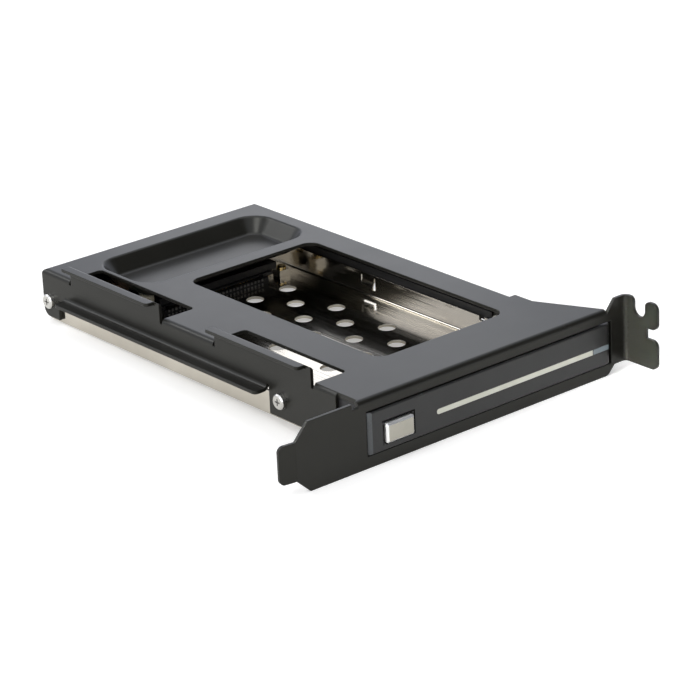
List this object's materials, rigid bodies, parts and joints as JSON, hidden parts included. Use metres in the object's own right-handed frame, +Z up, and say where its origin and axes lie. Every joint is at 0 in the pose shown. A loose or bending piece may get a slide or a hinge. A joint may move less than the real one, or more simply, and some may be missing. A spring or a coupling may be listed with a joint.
{
  "type": "expansion slot hard drive rack",
  "caption": "Slot bracket rack for a 2.5 inch drive: black folded cover with window and lanced side tabs, perforated nickel tray, hinged door with push button latch.",
  "frame": {"origin": "under the middle of the rack's bounding box, at the height of the bracket's lower edge", "axes": "+X along the slot bracket, from its tongue to its screw tab; +Y from the bracket's front face into the case; +Z up, out of the cover with the window"},
  "size_m": [0.1176, 0.1458, 0.0226],
  "materials": {
    "black_paint": "satin black powder coat",
    "nickel": "bright nickel plate",
    "screw_steel": "bright steel",
    "nylon": "natural nylon",
    "moulded_black": "fine matt",
    "door_plastic": "fine satin",
    "rubber": "matt",
    "silver_button": "satin champagne silver",
    "pale_strip": "milky",
    "grey_lens": "smoked",
    "circuit_board": "solder mask",
    "standoff_brass": "turned",
    "connector_black": "matt",
    "contact_gold": "gold flash",
    "brown_ferrite": "matt",
    "cream_part": "smooth",
    "chip_grey": "matt",
    "lamp_white": "smooth"
  },
  "bodies": {
    "chassis": {"cover_bracket": "black_paint", "drive_tray": "nickel", "tray_screws": "screw_steel", "wall_spacers": "nylon", "front_frame": "moulded_black", "hinge_pin": "screw_steel", "light_board": "circuit_board", "backplane_board": "circuit_board", "board_standoffs": "standoff_brass", "board_screws": "screw_steel", "drive_receptacle": "connector_black", "receptacle_contacts": "contact_gold", "corner_lug": "nickel", "lug_screw": "standoff_brass", "data_connector": "connector_black", "data_contacts": "contact_gold", "power_connector": "connector_black", "power_contacts": "contact_gold", "power_choke": "brown_ferrite", "filter_capacitor": "cream_part", "controller_chip": "connector_black", "board_passives": "chip_grey", "board_lamp": "lamp_white"},
    "door": {"door_panel": "door_plastic", "door_back": "moulded_black", "door_pad": "rubber", "light_pipe": "pale_strip", "activity_lens": "grey_lens", "button_spring": "screw_steel"},
    "button": {"button_cap": "silver_button"},
    "latch": {"latch_slider": "moulded_black"}
  },
  "joints": [
    {"name": "door_hinge", "type": "hinge", "parent": "chassis", "child": "door", "pos_m": [0.04902, -0.05949, 0.0091], "axis": [0, 0, 1], "range_deg": [0, 95]},
    {"name": "button_press", "type": "slide", "parent": "door", "child": "button", "axis": [0, 1, 0], "range_m": [0, 0.0012], "stiffness_N_per_m": 600, "springref_m": -0.001, "deforming": ["button_spring"]},
    {"name": "latch_slide", "type": "slide", "parent": "door", "child": "latch", "axis": [1, 0, 0], "range_m": [0, 0.0012]}
  ],
  "couplings": [
    {"joint": "latch_slide", "follows": "button_press", "ratio": 1}
  ]
}
